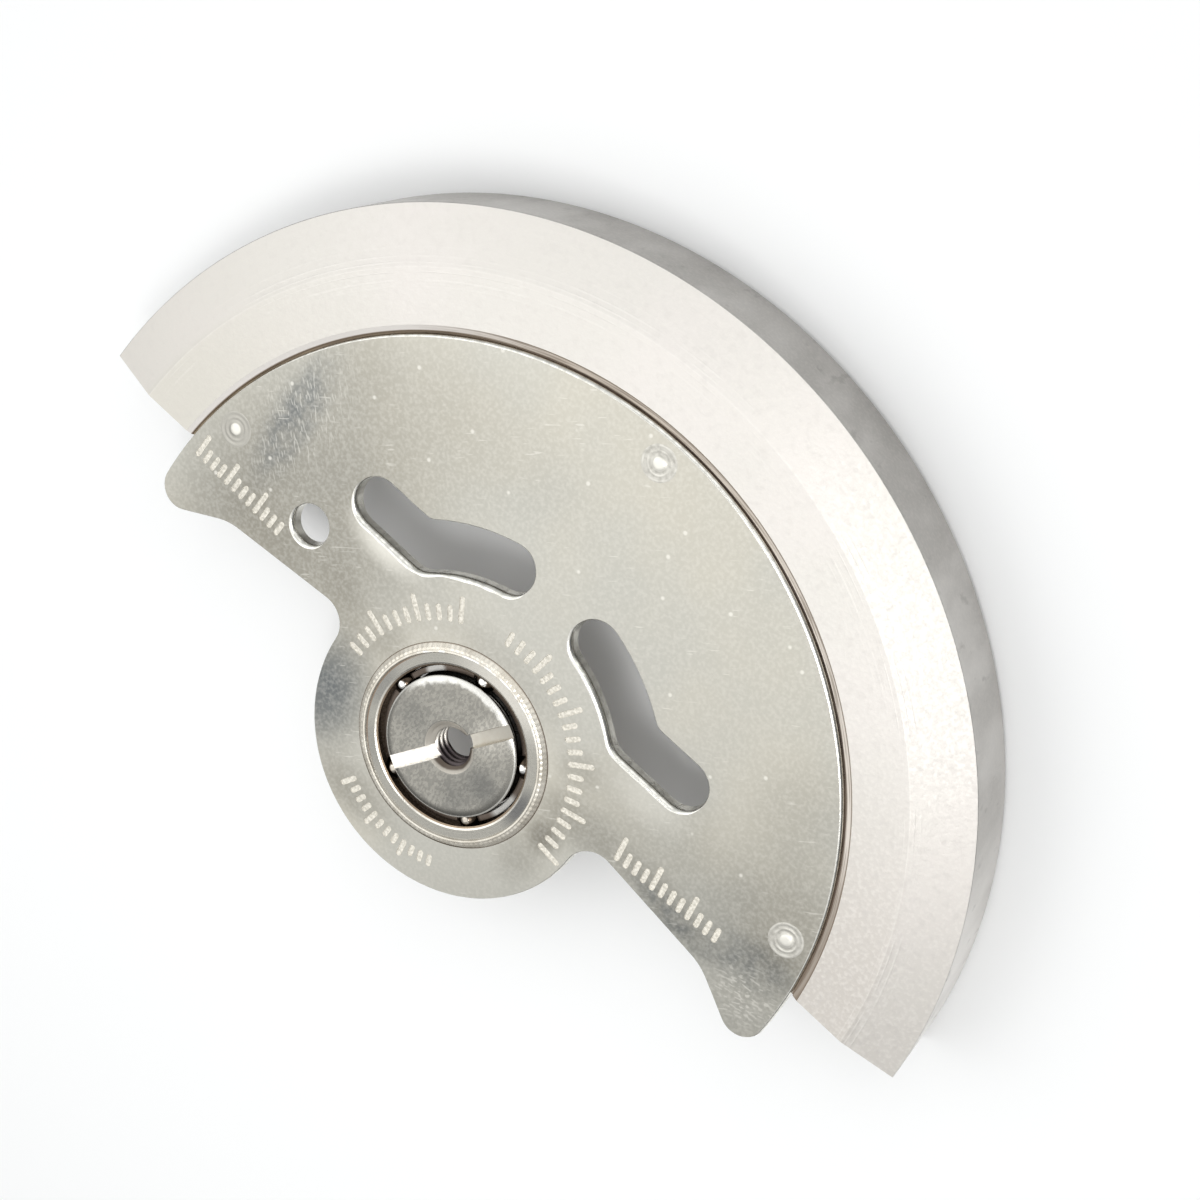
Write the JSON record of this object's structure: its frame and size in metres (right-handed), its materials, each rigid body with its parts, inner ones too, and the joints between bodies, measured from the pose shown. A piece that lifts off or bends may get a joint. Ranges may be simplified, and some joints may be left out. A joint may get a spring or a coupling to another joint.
{
  "type": "automatic watch rotor",
  "caption": "Winding rotor of an automatic watch: thin plate with a heavy half-ring rim, turning on a slotted ball bearing with a threaded centre.",
  "frame": {"origin": "on the rotor's axis, in the plane where the bearing core seats on its post", "axes": "+Z out of the face that shows through a case back, +Y towards the middle of the heavy rim, +X along the rim's chord"},
  "size_m": [0.0264, 0.0173, 0.0028],
  "materials": {
    "plated_plate": "satin, warm grey plating",
    "tungsten_alloy": "fine turned, matt",
    "rivet_steel": "burnished",
    "ring_steel": "ground and polished",
    "gear_metal": "plated, cut teeth",
    "cage_steel": "dark, oiled",
    "core_steel": "lapped face, polished edge",
    "ball_steel": "mirror polished"
  },
  "bodies": {
    "core": {"bearing_core": "core_steel", "bearing_cone": "core_steel"},
    "rotor": {"rotor_plate": "plated_plate", "oscillating_weight": "tungsten_alloy", "weight_rivet_left": "rivet_steel", "weight_rivet_middle": "rivet_steel", "weight_rivet_right": "rivet_steel", "bearing_outer_ring": "ring_steel", "rotor_gear": "gear_metal"},
    "cage": {"ball_cage": "cage_steel"},
    "ball_1": {"bearing_ball_1": "ball_steel"},
    "ball_2": {"bearing_ball_2": "ball_steel"},
    "ball_3": {"bearing_ball_3": "ball_steel"},
    "ball_4": {"bearing_ball_4": "ball_steel"},
    "ball_5": {"bearing_ball_5": "ball_steel"}
  },
  "joints": [
    {"name": "rotor_spin", "type": "hinge", "parent": "core", "child": "rotor", "pos_m": [0, 0, 0.00097], "axis": [0, 0, 1], "continuous": true},
    {"name": "cage_spin", "type": "hinge", "parent": "core", "child": "cage", "pos_m": [0, 0, 0.00097], "axis": [0, 0, 1], "continuous": true},
    {"name": "ball_1_spin", "type": "hinge", "parent": "cage", "child": "ball_1", "pos_m": [0.00175, 0.00091, 0.00097], "axis": [0, 0, 1], "continuous": true},
    {"name": "ball_2_spin", "type": "hinge", "parent": "cage", "child": "ball_2", "pos_m": [-0.00032, 0.00195, 0.00097], "axis": [0, 0, 1], "continuous": true},
    {"name": "ball_3_spin", "type": "hinge", "parent": "cage", "child": "ball_3", "pos_m": [-0.00195, 0.0003, 0.00097], "axis": [0, 0, 1], "continuous": true},
    {"name": "ball_4_spin", "type": "hinge", "parent": "cage", "child": "ball_4", "pos_m": [-0.00088, -0.00177, 0.00097], "axis": [0, 0, 1], "continuous": true},
    {"name": "ball_5_spin", "type": "hinge", "parent": "cage", "child": "ball_5", "pos_m": [0.00141, -0.00139, 0.00097], "axis": [0, 0, 1], "continuous": true}
  ],
  "couplings": [
    {"joint": "cage_spin", "follows": "rotor_spin", "ratio": 0.55818},
    {"joint": "ball_1_spin", "follows": "rotor_spin", "ratio": 4.2389},
    {"joint": "ball_2_spin", "follows": "rotor_spin", "ratio": 4.2389},
    {"joint": "ball_3_spin", "follows": "rotor_spin", "ratio": 4.2389},
    {"joint": "ball_4_spin", "follows": "rotor_spin", "ratio": 4.2389},
    {"joint": "ball_5_spin", "follows": "rotor_spin", "ratio": 4.2389}
  ]
}
